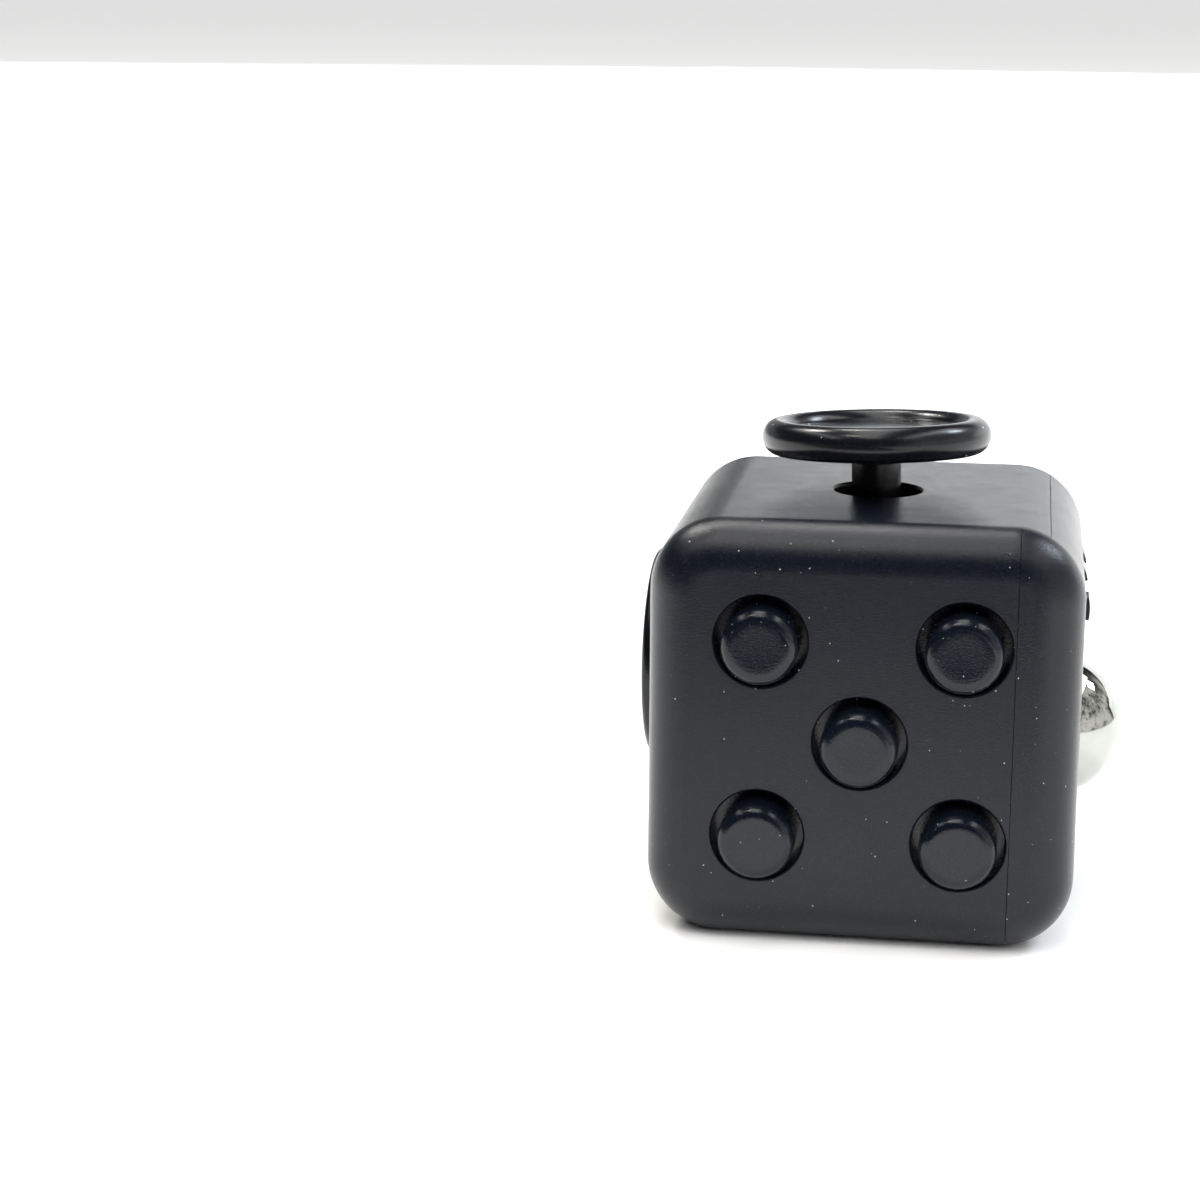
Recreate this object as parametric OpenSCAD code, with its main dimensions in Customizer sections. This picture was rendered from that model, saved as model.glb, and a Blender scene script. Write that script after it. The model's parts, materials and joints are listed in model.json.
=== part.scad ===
// Fidget cube: a two-piece case with a different finger toy on each side.
// The origin is the centre of the underside, +Z is up and the push buttons face -Y.

/* [Case] */
// Edge length of the cube
cube_size = 33; // [33:0.5:40]
// Thickness of every wall
wall = 2; // [1.8:0.1:2.4]
// Rounding of the four edges that run from front to back
corner_r = 5.6; // [5:0.1:6]
// Rounding of the rims of the front and the back
rim_r = 3.6; // [3:0.1:4]
// Bevel of the hollow's long corners
hollow_bevel = 2.2; // [2:0.1:3]
// Distance from the right side to the cover's seam on the top
seam_top_in = 2.8; // [2.5:0.1:3]
// Distance from the right side to the cover's seam on the front
seam_front_in = 5; // [4.9:0.1:5.1]
// Width of the seam between case and cover
seam_gap = 0.1; // [0.05:0.01:0.15]
// Radius of the thumb dish in the underside
dish_r = 10.5; // [8:0.5:10.9]
// Depth of the thumb dish
dish_depth = 1.6; // [1:0.1:2]

/* [Push buttons] */
// Radius of a button cap
cap_r = 2.95; // [2.4:0.05:3.1]
// Gap around a cap in its hole
cap_gap = 0.59; // [0.4:0.01:0.7]
// Height of a cap over the front
cap_out = 1.8; // [1.2:0.1:2.2]
// Rounding of a cap's edge
cap_edge_r = 0.9; // [0.4:0.1:1.2]
// Distance of the outer caps from the centre lines
cap_pitch = 7.66; // [7.5:0.02:7.7]
// How low the loose caps hang in their holes
cap_sag = 0.2; // [0:0.05:0.3]
// Travel of a button
button_travel = 0.8; // [0.5:0.1:0.9]

/* [Joystick] */
// Radius of the thumb disc
disc_r = 9.12; // [8:0.02:10]
// Thickness of the disc's round rim
disc_rim_t = 2.8; // [2.4:0.1:2.9]
// Width of the disc's round rim
disc_rim_w = 2.5; // [2:0.1:3]
// Height of the rim's centre over the top
disc_height = 4.28; // [4.2:0.02:5.5]
// Angle that the loose joystick leans to the back at rest
lean_back = 3.8; // [0:0.1:5]
// Angle that the loose joystick leans to the left at rest
lean_left = 1.8; // [0:0.1:5]
// Radius of the stem
stem_r = 1.97; // [1.6:0.01:2]
// Radius of the hole that the stem tilts in
stem_hole_r = 3.51; // [3.5:0.01:4.2]
// Depth of the tilting centre under the top
pivot_depth = 4.5; // [4.4:0.1:4.6]
// Radius of the gimbal pins
gimbal_pin_r = 0.7; // [0.5:0.05:0.75]

/* [Ball] */
// Radius of the steel ball
ball_r = 5.5; // [4.5:0.1:5.5]
// Height of the ball over the right side
ball_out = 3.76; // [3:0.01:3.9]
// Height of the ball's centre
ball_z = 14.2; // [13.5:0.1:14.4]
// Clearance around the ball in its hole and cup
ball_gap = 0.12; // [0.08:0.01:0.2]
// Travel of the ball when it is pressed
ball_travel = 0.6; // [0.3:0.1:0.9]

/* [Gears] */
// Tip radius of a toothed wheel
gear_r = 4.4; // [3.6:0.1:4.4]
// Number of teeth
gear_teeth = 8; // [6:1:10]
// Width of a wheel
gear_w = 3; // [2.4:0.1:3.2]
// Distance from wheel to wheel
gear_pitch = 6.5; // [6:0.1:6.6]
// Height of the teeth over the right side
gear_out = 0.45; // [0.3:0.05:1]
// Height of the axle
gear_z = 25.6; // [25.4:0.1:25.8]
// Radius of the axle
axle_r = 1; // [0.7:0.05:1.3]

/* [Dial] */
// Radius of the dial
dial_r = 8.5; // [7:0.1:8.6]
// Height of the dial over the left side
dial_out = 1.4; // [1:0.1:2]
// Height of the dial's centre
dial_z = 18.9; // [18:0.1:19]
// Radius of the shaft
dial_shaft_r = 2.5; // [2:0.1:3]
// Radius of the detent wheel
detent_r = 6; // [5:0.1:6.2]
// Number of stops
detent_count = 12; // [8:1:16]

/* [Rocker] */
// Length of the rocker
rocker_l = 12.2; // [11:0.1:12.4]
// Width of the rocker
rocker_w = 8.2; // [7:0.1:8.4]
// Tilt of the rocker to each side
rocker_tilt = 10; // [6:1:11]
// Radius of the rocker's pin
rocker_pin_r = 0.8; // [0.6:0.05:1]

/* [Fits] */
// Radial clearance of a turning shaft
run_gap = 0.06; // [0.02:0.01:0.1]
// Clearance of pieces that move past each other
move_gap = 0.3; // [0.2:0.05:0.4]
// Clearance of pieces that stay put
still_gap = 0.1; // [0.05:0.01:0.15]
// Radius of the screws' shanks
screw_r = 0.7; // [0.6:0.05:0.8]
// Radius of the screws' heads
screw_head_r = 1.4; // [1.2:0.05:1.5]
// Height of the screws' heads
screw_head_h = 1; // [0.8:0.05:1]

/* [Hidden] */
$fn = 64;

// case
half = cube_size / 2;
inner = half - wall;
roof = cube_size - wall;
seam_top_x = half - seam_top_in;
seam_front_x = half - seam_front_in;
seam_jog_y = half - rim_r;
dish_sphere_r = (dish_r * dish_r + dish_depth * dish_depth) / (2 * dish_depth);
dish_boss_r = dish_r + 1.5;
tongue_t = 1;
tongue_reach = 2;
tongue_y = [9, 12.4];
hook_r = 0.3;
far = 3 * cube_size;
pilot_gap = 0.03;

// push buttons, as depths behind the front
cap_places = [
    [-cap_pitch, cap_pitch], [cap_pitch, cap_pitch], [0, 0],
    [-cap_pitch, -cap_pitch], [cap_pitch, -cap_pitch]
];
cap_hole_r = cap_r + cap_gap;
flange_r = cap_hole_r + 0.66;
flange_t = 1;
flange_depth = wall + still_gap;
nub_r = 1.2;
nub_l = 1.1;
dome_h = button_travel + 0.3;
dome_r = 3;
dome_depth = flange_depth + flange_t + nub_l;
plate_depth = dome_depth + dome_h;
plate_t = 1.3;
plate_half = cap_pitch + dome_r + 0.34;
plate_screw_at = 9;
plate_boss_r = 2;

// joystick, as heights
pivot_z = cube_size - pivot_depth;
disc_z = cube_size + disc_height;
rim_t = disc_rim_t / 2;
rim_w = disc_rim_w / 2;
ring_in_r = 2.9;
ring_out_r = 4.5;
ring_h = 2;
hub_r = 2.2;
ear_in = ring_out_r + 0.4;
ear_t = 1.4;
ear_half_y = 2.5;
stick_pin_l = ring_out_r - 0.1;
ring_pin_l = ear_in + 1;
foot_z = pivot_z - 4.1;
foot_t = 1.2;
foot_r = 2.4;
foot_screw_r = 0.6;
cushion_z = pivot_z - 6.3;
cushion_t = 1;
housing_floor_t = 1.2;
housing_half_y = 4.5;
housing_flange_t = 1.2;
housing_screw_x = 5.2;
housing_screw_y = 8;

// ball
ball_x = half + ball_out - ball_r;
cup_r = ball_r - 0.5;
cup_back_x = ball_x - ball_r - 1.7;
cup_front_x = ball_x - ball_r + 2.3;
ball_dome_h = ball_travel + 1.5;
sleeve_floor_x = cup_back_x - ball_dome_h - 0.05;
sleeve_floor_t = 1;
sleeve_in_r = cup_r + 0.1;
sleeve_step_x = cup_front_x + 0.24;
sleeve_mouth_r = ball_r + 0.3;
sleeve_out_r = ball_r + 1.1;
ear_flange_t = 1.3;
retainer_screw_y = sleeve_out_r + 2.3;

// gears
gear_x = half + gear_out - gear_r;
gear_ys = [-gear_pitch, 0, gear_pitch];
gear_notch_r = 0.9;
gear_pocket_r = gear_r + 0.4;
gear_pocket_w = gear_w + 2 * move_gap;
cradle_y = gear_pitch + gear_w / 2 + 0.3;
cradle_arm_t = 0.8;
cradle_h = 4.8;
cradle_x = gear_x - gear_r - 0.8;
cradle_t = 0.8;
cradle_screw_y = cradle_y + cradle_arm_t + 1.5;
spacer_r = 1.8;
comb_t = 0.35;
comb_bump_r = comb_t - 0.02;

// dial, as depths behind the left side
dial_edge_r = 0.6;
detent_t = 1.5;
detent_depth = wall + 0.3;
detent_notch_r = 0.9;
core_r = 1.6;
click_tip_r = 0.8;
click_post = [0, dial_z] + (detent_r + 5.24) * [cos(-135), sin(-135)];
click_tip = [0, dial_z] + (detent_r + click_tip_r + still_gap) * [cos(-110), sin(-110)];
click_spring_t = 0.4;
click_post_h = 0.7;

// rocker, as heights over the pivot and depths behind the back
rocker_y = half - 2.1;
rocker_gap = 0.3;
bore_l = rocker_l + 4 * rocker_gap;
bore_w = rocker_w + 2 * rocker_gap;
skirt_t = 0.8;
bezel_w = 1;
bezel_t = 0.6;
skirt_depth = 6.1;
barb_out = 0.45;

plastic = [0.16, 0.17, 0.19];
glossy = [0.08, 0.08, 0.09];
inside = [0.3, 0.31, 0.34];
silicone = [0.75, 0.76, 0.78];
steel = [0.72, 0.73, 0.75];
brass = [0.78, 0.62, 0.3];

// Places a piece on a side: its own +Z then points out of that side, and z = 0 lies `depth` under it.
module front_at(x, z, depth) translate([x, -half + depth, z]) rotate([90, 0, 0]) children();
module back_at(x, z, depth) translate([x, half - depth, z]) rotate([-90, 0, 0]) children();
module right_at(y, z, depth) translate([half - depth, y, z]) rotate([0, 90, 0]) children();
module left_at(y, z, depth) translate([-half + depth, y, z]) rotate([0, -90, 0]) children();

// A block from one corner to the opposite one
module block(low, high) translate(low) cube(high - low);

// A screw whose head stands on z = 0 and whose shank runs down to -l
module screw(l, r = screw_r, head_r = screw_head_r, head_h = screw_head_h) {
    difference() {
        cylinder(r = head_r, h = head_h);
        for (turn = [0, 90])
            rotate([0, 0, turn])
                translate([-head_r * 0.6, -0.15, head_h - 0.45]) cube([head_r * 1.2, 0.3, 1]);
    }
    translate([0, 0, -l]) cylinder(r = r, h = l + 0.01);
}

// An arched shell that stands on z = 0
module dome(r, h, t) {
    arch_r = (r * r + h * h) / (2 * h);
    difference() {
        intersection() {
            translate([0, 0, h - arch_r]) sphere(r = arch_r);
            cylinder(r = r, h = h);
        }
        translate([0, 0, h - arch_r]) sphere(r = arch_r - t);
    }
}

// ---- case ----

// A rod along Z with rounded ends, which makes one long edge of the cube
module edge_rod() {
    arc = [for (i = [0:8]) 90 * i / 8];
    rotate_extrude($fn = 32)
        polygon(concat(
            [[0, -half]],
            [for (a = arc) [corner_r - rim_r + rim_r * sin(a), -half + rim_r - rim_r * cos(a)]],
            [for (a = arc) [corner_r - rim_r + rim_r * cos(a), half - rim_r + rim_r * sin(a)]],
            [[0, half]]
        ));
}

module outer_block() {
    at = half - corner_r;
    hull()
        for (x = [-at, at], z = [-at, at])
            translate([x, 0, half + z]) rotate([90, 0, 0]) edge_rod();
}

// The hollow up to the top seam, with its two left corners bevelled
module case_hollow() {
    translate([0, inner, 0]) rotate([90, 0, 0])
        linear_extrude(height = 2 * inner)
            polygon([
                [-inner + hollow_bevel, wall], [seam_top_x, wall],
                [seam_top_x, roof], [-inner + hollow_bevel, roof],
                [-inner, roof - hollow_bevel], [-inner, wall + hollow_bevel]
            ]);
}

module cover_hollow() {
    block([seam_top_x - 0.1, -inner, wall + hollow_bevel], [inner, inner, roof - hollow_bevel]);
}

// Everything right of the seam, moved left by `grow`
module cover_region(grow) {
    block([seam_top_x - grow, -far, -far], [far, far, far]);
    for (side = [-1, 1])
        translate([seam_front_x - grow, side > 0 ? seam_jog_y - grow : -far - seam_jog_y + grow, -far])
            cube([far, far, 2 * far]);
}

module tongues() {
    for (side = [-1, 1], top = [0, 1])
        translate([0, side * (tongue_y[0] + tongue_y[1]) / 2, top * cube_size])
            mirror([0, 0, top]) {
                w = tongue_y[1] - tongue_y[0];
                low = wall + still_gap;
                block([seam_top_x - tongue_reach, -w / 2, low], [seam_top_x + 0.4, w / 2, low + tongue_t]);
                translate([seam_top_x - tongue_reach / 2, w / 4, low])
                    rotate([90, 0, 0]) cylinder(r = hook_r, h = w / 2);
            }
}

module hook_grooves() {
    for (side = [-1, 1], top = [0, 1])
        translate([0, side * (tongue_y[0] + tongue_y[1]) / 2, top * cube_size])
            mirror([0, 0, top])
                translate([seam_top_x - tongue_reach / 2, 0, wall])
                    cube([2 * hook_r + 0.4, 2.4, 0.7], center = true);
}

module button_bosses() {
    for (p = [[-1, 0], [1, 0], [0, -1], [0, 1]] * plate_screw_at)
        front_at(p[0], half + p[1], plate_depth)
            cylinder(r = plate_boss_r, h = plate_depth - wall + 0.3);
}

module button_pilots() {
    for (p = [[-1, 0], [1, 0], [0, -1], [0, 1]] * plate_screw_at)
        front_at(p[0], half + p[1], plate_depth + 1)
            cylinder(r = screw_r + pilot_gap, h = plate_depth - wall + 1);
}

module housing_pilots() {
    for (x = [-1, 1], y = [-1, 1])
        translate([x * housing_screw_x, y * housing_screw_y, roof - 1])
            cylinder(r = screw_r + pilot_gap, h = 1 + wall - 0.5);
}

module case_body() color(plastic) difference() {
    union() {
        difference() {
            outer_block();
            cover_region(seam_gap / 2);
            case_hollow();
        }
        button_bosses();
        translate([0, 0, wall - 0.3]) cylinder(r = dish_boss_r, h = dish_depth + 0.1);
        left_at(click_post[0], click_post[1], wall + click_post_h)
            cylinder(r = 1.8, h = click_post_h + 0.3);
    }
    for (p = cap_places)
        front_at(p[0], half + p[1], wall + 0.5) cylinder(r = cap_hole_r, h = wall + 1);
    button_pilots();
    housing_pilots();
    translate([0, 0, roof - 0.5]) cylinder(r = stem_hole_r, h = wall + 1);
    left_at(0, dial_z, wall + 0.5) cylinder(r = dial_shaft_r + run_gap, h = wall + 1);
    left_at(click_post[0], click_post[1], wall + click_post_h + 0.5)
        cylinder(r = screw_r + pilot_gap, h = click_post_h + 1.6);
    translate([0, 0, dish_depth - dish_sphere_r]) sphere(r = dish_sphere_r);
    back_at(0, half, wall + 0.5)
        translate([0, 0, wall / 2 + 0.5])
            cube([bore_w + 2 * skirt_t + still_gap, bore_l + 2 * skirt_t + still_gap, wall + 1], center = true);
    hook_grooves();
}

module side_cover() color(plastic) difference() {
    union() {
        difference() {
            intersection() {
                outer_block();
                cover_region(-seam_gap / 2);
            }
            case_hollow();
            cover_hollow();
        }
        tongues();
    }
    translate([ball_x, 0, ball_z]) sphere(r = ball_r + ball_gap);
    translate([ball_x, 0, ball_z]) rotate([0, -90, 0]) cylinder(r = ball_r + ball_gap, h = 4);
    for (y = gear_ys)
        translate([gear_x, y + gear_pocket_w / 2, gear_z])
            rotate([90, 0, 0]) cylinder(r = gear_pocket_r, h = gear_pocket_w);
    translate([gear_x, gear_pitch, gear_z])
        rotate([90, 0, 0]) cylinder(r = spacer_r + still_gap, h = 2 * gear_pitch);
    for (side = [-1, 1]) {
        right_at(side * cradle_screw_y, gear_z, wall + 1)
            cylinder(r = screw_r + pilot_gap, h = wall + 0.5);
        right_at(side * retainer_screw_y, ball_z, wall + 1)
            cylinder(r = screw_r + pilot_gap, h = wall + 0.5);
    }
}

// ---- push buttons ----

module button_cap(i) color(glossy) {
    p = cap_places[i];
    arc = [for (a = [0:15:90]) a];
    front_at(p[0], half + p[1] - cap_sag, 0) {
        rotate_extrude()
            polygon(concat(
                [[0, -flange_depth - flange_t], [flange_r, -flange_depth - flange_t]],
                [[flange_r, -flange_depth], [cap_r, -flange_depth]],
                [for (a = arc) [cap_r - cap_edge_r * (1 - cos(a)), cap_out - cap_edge_r * (1 - sin(a))]],
                [[0, cap_out]]
            ));
        translate([0, 0, -dome_depth + 0.05]) cylinder(r = nub_r, h = nub_l);
    }
}

module snap_dome(i) color(steel) {
    p = cap_places[i];
    front_at(p[0], half + p[1], plate_depth) dome(dome_r, dome_h, 0.2);
}

module silicone_pad(i) color(silicone) {
    p = cap_places[i];
    front_at(p[0], half + p[1], plate_depth)
        rotate_extrude()
            polygon([[0, 0.4], [1, 0.4], [1.6, 0], [dome_r, 0], [dome_r, 0.3], [2.2, 0.3], [1.5, dome_h],
                [0, dome_h]]);
}

module button_backplate() color(inside) difference() {
    front_at(0, half, plate_depth + plate_t / 2)
        cube([2 * plate_half, 2 * plate_half, plate_t], center = true);
    for (p = [[-1, 0], [1, 0], [0, -1], [0, 1]] * plate_screw_at)
        front_at(p[0], half + p[1], plate_depth + plate_t + 1) cylinder(r = screw_r + 0.15, h = plate_t + 2);
}

module backplate_screws() color(steel)
    for (p = [[-1, 0], [1, 0], [0, -1], [0, 1]] * plate_screw_at)
        front_at(p[0], half + p[1], plate_depth + plate_t) mirror([0, 0, 1]) screw(plate_t + 2.4);

// ---- joystick ----

// Turns the ring about its outer pins, by the joystick's lean to the back
module leaning_back()
    translate([0, 0, pivot_z]) rotate([-lean_back, 0, 0]) translate([0, 0, -pivot_z]) children();

// Turns the joystick about both pairs of pins
module leaning() leaning_back()
    translate([0, 0, pivot_z]) rotate([0, -lean_left, 0]) translate([0, 0, -pivot_z]) children();

module joystick_knob() color(glossy) leaning() {
    crest = disc_r - rim_w;
    dish_z = disc_z + rim_t - 0.9;
    difference() {
        rotate_extrude()
            polygon(concat(
                [[0, dish_z - 0.05], [crest - 2.4, dish_z], [crest - 1.5, dish_z + 0.08]],
                [for (a = [150:-15:-90]) [crest + rim_w * cos(a), disc_z + rim_t * sin(a)]],
                [[stem_r + 0.5, disc_z - rim_t], [stem_r, disc_z - rim_t - 0.5]],
                [[stem_r, pivot_z + 1.4], [hub_r, pivot_z + 1.2], [hub_r, pivot_z - 1.3]],
                [[1.4, pivot_z - 1.3], [1.4, foot_z + foot_t], [0, foot_z + foot_t]]
            ));
        translate([0, 0, foot_z]) cylinder(r = foot_screw_r + pilot_gap, h = 3.4);
    }
    translate([0, stick_pin_l, pivot_z])
        rotate([90, 0, 0]) cylinder(r = gimbal_pin_r, h = 2 * stick_pin_l);
}

module joystick_foot() color(inside) leaning() difference() {
    translate([0, 0, foot_z]) cylinder(r = foot_r, h = foot_t);
    translate([0, 0, foot_z - 1]) cylinder(r = foot_screw_r + pilot_gap, h = foot_t + 2);
}

module joystick_foot_screw() color(steel)
    leaning() translate([0, 0, foot_z]) mirror([0, 0, 1]) screw(3, foot_screw_r, 1.2, 0.8);

module gimbal_ring() color(silicone) leaning_back() {
    difference() {
        translate([0, 0, pivot_z - ring_h / 2]) cylinder(r = ring_out_r, h = ring_h);
        translate([0, 0, pivot_z - ring_h]) cylinder(r = ring_in_r, h = 2 * ring_h);
        translate([0, far / 2, pivot_z])
            rotate([90, 0, 0]) cylinder(r = gimbal_pin_r + run_gap, h = far);
    }
    for (side = [0, 180])
        rotate([0, 0, side])
            translate([ring_out_r - 0.3, 0, pivot_z])
                rotate([0, 90, 0]) cylinder(r = gimbal_pin_r, h = ring_pin_l - ring_out_r + 0.3);
}

module joystick_housing() color(inside) difference() {
    ear_out = ear_in + ear_t;
    flange_z = roof - housing_flange_t;
    union() {
        block([-ear_out, -housing_half_y, cushion_z - housing_floor_t], [ear_out, housing_half_y, cushion_z]);
        for (side = [0, 180])
            rotate([0, 0, side]) {
                block([ear_in, -ear_half_y, cushion_z - 0.1], [ear_out, ear_half_y, roof]);
                block([ear_in, -housing_screw_y, flange_z], [ear_out, housing_screw_y, roof]);
                for (y = [-1, 1])
                    translate([housing_screw_x, y * housing_screw_y, flange_z])
                        cylinder(r = screw_head_r + 0.3, h = housing_flange_t);
            }
    }
    translate([-far / 2, 0, pivot_z])
        rotate([0, 90, 0]) cylinder(r = gimbal_pin_r + run_gap, h = far);
    for (x = [-1, 1], y = [-1, 1])
        translate([x * housing_screw_x, y * housing_screw_y, flange_z - 1])
            cylinder(r = screw_r + 0.1, h = housing_flange_t + 2);
}

module housing_screws() color(steel)
    for (x = [-1, 1], y = [-1, 1])
        translate([x * housing_screw_x, y * housing_screw_y, roof - housing_flange_t])
            mirror([0, 0, 1]) screw(housing_flange_t + 1.3);

module centring_cushion() color(silicone) difference() {
    translate([0, 0, cushion_z]) cylinder(r = 3.6, h = cushion_t);
    translate([0, 0, cushion_z + cushion_t + 11.5]) sphere(r = 12);
}

// ---- ball ----

module roller_ball() color(steel) translate([ball_x, 0, ball_z]) sphere(r = ball_r);

module ball_cup() color(silicone) difference() {
    translate([cup_back_x, 0, ball_z])
        rotate([0, 90, 0]) cylinder(r = cup_r, h = cup_front_x - cup_back_x);
    translate([ball_x, 0, ball_z]) sphere(r = ball_r + ball_gap);
}

module ball_dome() color(steel)
    translate([sleeve_floor_x, 0, ball_z])
        rotate([0, 90, 0]) dome(cup_r - 0.6, ball_dome_h, 0.3);

module ball_retainer() color(inside) difference() {
    union() {
        translate([sleeve_floor_x - sleeve_floor_t, 0, ball_z])
            rotate([0, 90, 0]) cylinder(r = sleeve_out_r, h = inner - sleeve_floor_x + sleeve_floor_t);
        block([inner - ear_flange_t, -retainer_screw_y - 1.8, ball_z - 2.4],
            [inner, retainer_screw_y + 1.8, ball_z + 2.4]);
    }
    translate([sleeve_floor_x, 0, ball_z]) rotate([0, 90, 0]) cylinder(r = sleeve_in_r, h = far);
    translate([sleeve_step_x, 0, ball_z]) rotate([0, 90, 0]) cylinder(r = sleeve_mouth_r, h = far);
    for (side = [-1, 1])
        right_at(side * retainer_screw_y, ball_z, wall + ear_flange_t + 1)
            cylinder(r = screw_r + 0.1, h = ear_flange_t + 2);
}

module retainer_screws() color(steel)
    for (side = [-1, 1])
        right_at(side * retainer_screw_y, ball_z, wall + ear_flange_t)
            mirror([0, 0, 1]) screw(ear_flange_t + 1.4);

// ---- gears ----

// `turn` is a part of the pitch from tooth to tooth
module gear(y, turn) color(glossy)
    translate([gear_x, y + gear_w / 2, gear_z])
        rotate([90, 0, 0])
            difference() {
                cylinder(r = gear_r, h = gear_w);
                for (i = [0:gear_teeth - 1])
                    rotate([0, 0, (i + 0.5 + turn) * 360 / gear_teeth])
                        translate([gear_r, 0, -1]) cylinder(r = gear_notch_r, h = gear_w + 2);
                translate([0, 0, -1]) cylinder(r = axle_r + run_gap, h = gear_w + 2);
            }

module gear_axle() color(steel) {
    reach = cradle_y + cradle_arm_t - 0.05;
    translate([gear_x, reach, gear_z]) rotate([90, 0, 0]) cylinder(r = axle_r, h = 2 * reach);
}

module gear_spacers() color(inside)
    for (side = [-1, 1])
        translate([gear_x, side * gear_pitch / 2, gear_z])
            rotate([90, 0, 0])
                difference() {
                    cylinder(r = spacer_r, h = gear_pitch - gear_w - 0.2, center = true);
                    cylinder(r = axle_r + pilot_gap, h = gear_pitch, center = true);
                }

module gear_cradle() color(inside) difference() {
    arm_y = cradle_y + cradle_arm_t;
    low = gear_z - cradle_h / 2;
    high = gear_z + cradle_h / 2;
    union() {
        block([cradle_x - cradle_t, -arm_y, low], [cradle_x, arm_y, high]);
        for (side = [0, 1])
            mirror([0, side, 0]) {
                block([cradle_x - cradle_t, cradle_y, low], [inner, arm_y, high]);
                block([inner - ear_flange_t, cradle_y, low], [inner, cradle_screw_y + 1.5, high]);
            }
    }
    translate([gear_x, far / 2, gear_z]) rotate([90, 0, 0]) cylinder(r = axle_r + pilot_gap, h = far);
    for (side = [-1, 1])
        right_at(side * cradle_screw_y, gear_z, wall + ear_flange_t + 1)
            cylinder(r = screw_r + 0.1, h = ear_flange_t + 2);
}

module gear_click_comb() color(brass) {
    reach = cradle_y - 0.1;
    block([cradle_x, -reach, gear_z - 1.8], [cradle_x + comb_t, reach, gear_z + 1.8]);
    for (y = gear_ys)
        translate([cradle_x + comb_t, y + gear_w / 2, gear_z])
            rotate([90, 0, 0]) cylinder(r = comb_bump_r, h = gear_w);
}

module cradle_screws() color(steel)
    for (side = [-1, 1])
        right_at(side * cradle_screw_y, gear_z, wall + ear_flange_t)
            mirror([0, 0, 1]) screw(ear_flange_t + 1.4);

// ---- dial ----

module dial_knob() color(glossy)
    left_at(0, dial_z, 0)
        difference() {
            rotate_extrude()
                polygon(concat(
                    [[0, -detent_depth - detent_t], [core_r, -detent_depth - detent_t]],
                    [[core_r, -detent_depth], [dial_shaft_r, -detent_depth], [dial_shaft_r, still_gap]],
                    [[dial_r - 0.3, still_gap], [dial_r, still_gap + 0.3]],
                    [for (a = [0:15:90])
                        [dial_r - dial_edge_r * (1 - cos(a)), dial_out - dial_edge_r * (1 - sin(a))]],
                    [[0, dial_out]]
                ));
            translate([dial_r * 0.54, 0, dial_out + 2.5]) sphere(r = 3.2);
            translate([0, 0, -detent_depth - detent_t - 1])
                cylinder(r = screw_r + pilot_gap, h = 4);
        }

module detent_wheel() color(silicone)
    left_at(0, dial_z, detent_depth + detent_t)
        difference() {
            cylinder(r = detent_r, h = detent_t);
            for (i = [0:detent_count - 1])
                rotate([0, 0, i * 360 / detent_count])
                    translate([detent_r, 0, -1]) cylinder(r = detent_notch_r, h = detent_t + 2);
            translate([0, 0, -1]) cylinder(r = core_r + pilot_gap, h = detent_t + 2);
        }

module dial_screw() color(steel)
    left_at(0, dial_z, detent_depth + detent_t) mirror([0, 0, 1]) screw(2.6, screw_r, 2.2);

module dial_washer() color(brass)
    left_at(0, dial_z, wall + 0.25)
        difference() {
            cylinder(r = dial_shaft_r + 1.5, h = 0.25);
            translate([0, 0, -1]) cylinder(r = dial_shaft_r + run_gap, h = 2);
        }

// In this piece's own plane x runs up and y runs to the back.
module dial_click_spring() color(brass)
    left_at(0, 0, wall + click_post_h + click_spring_t)
        difference() {
            arm = click_tip - click_post;
            union() {
                translate([click_post[1], click_post[0]]) cylinder(r = 1.8, h = click_spring_t);
                translate([click_tip[1], click_tip[0]]) cylinder(r = click_tip_r, h = click_spring_t);
                translate([click_post[1], click_post[0]])
                    rotate([0, 0, atan2(arm[0], arm[1])])
                        translate([0, -0.4, 0]) cube([norm(arm), 0.8, click_spring_t]);
            }
            translate([click_post[1], click_post[0], -1]) cylinder(r = screw_r + 0.1, h = 3);
        }

module click_spring_screw() color(steel)
    left_at(click_post[0], click_post[1], wall + click_post_h + click_spring_t)
        mirror([0, 0, 1]) screw(click_spring_t + 1.8, screw_r, 1.3, 0.8);

// ---- rocker ----

// Turns a flat outline so that its x runs out of the back, its y runs up and it is `w` wide
module rocker_profile(w) rotate([90, 0, 90]) linear_extrude(height = w, center = true) children();

module rocker_switch() color(glossy)
    translate([0, rocker_y, half])
        rotate([-rocker_tilt, 0, 0])
            difference() {
                rocker_profile(rocker_w)
                    polygon(concat(
                        [for (t = [-1:0.25:1]) [1.5 + 0.9 * t * t, t * rocker_l / 2]],
                        [[-0.4, rocker_l / 2 - 0.1], [-2.2, 1.8], [-2.2, -1.8], [-0.4, -rocker_l / 2 + 0.1]]
                    ));
                rotate([0, 90, 0]) cylinder(r = rocker_pin_r + run_gap, h = far, center = true);
            }

module rocker_housing() color(plastic)
    back_at(0, half, 0)
        difference() {
            w = bore_w / 2;
            l = bore_l / 2;
            union() {
                block([-w - skirt_t - bezel_w, -l - skirt_t - bezel_w, 0],
                    [w + skirt_t + bezel_w, l + skirt_t + bezel_w, bezel_t]);
                block([-w - skirt_t, -l - skirt_t, -skirt_depth - skirt_t], [w + skirt_t, l + skirt_t, 0.1]);
                block([-2.5, -l - skirt_t - barb_out, -wall - still_gap - 0.8],
                    [2.5, l + skirt_t + barb_out, -wall - still_gap]);
            }
            block([-w, -l, -skirt_depth], [w, l, bezel_t + 1]);
            translate([0, 0, rocker_y - half])
                rotate([0, 90, 0]) cylinder(r = rocker_pin_r + pilot_gap, h = far, center = true);
        }

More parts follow.
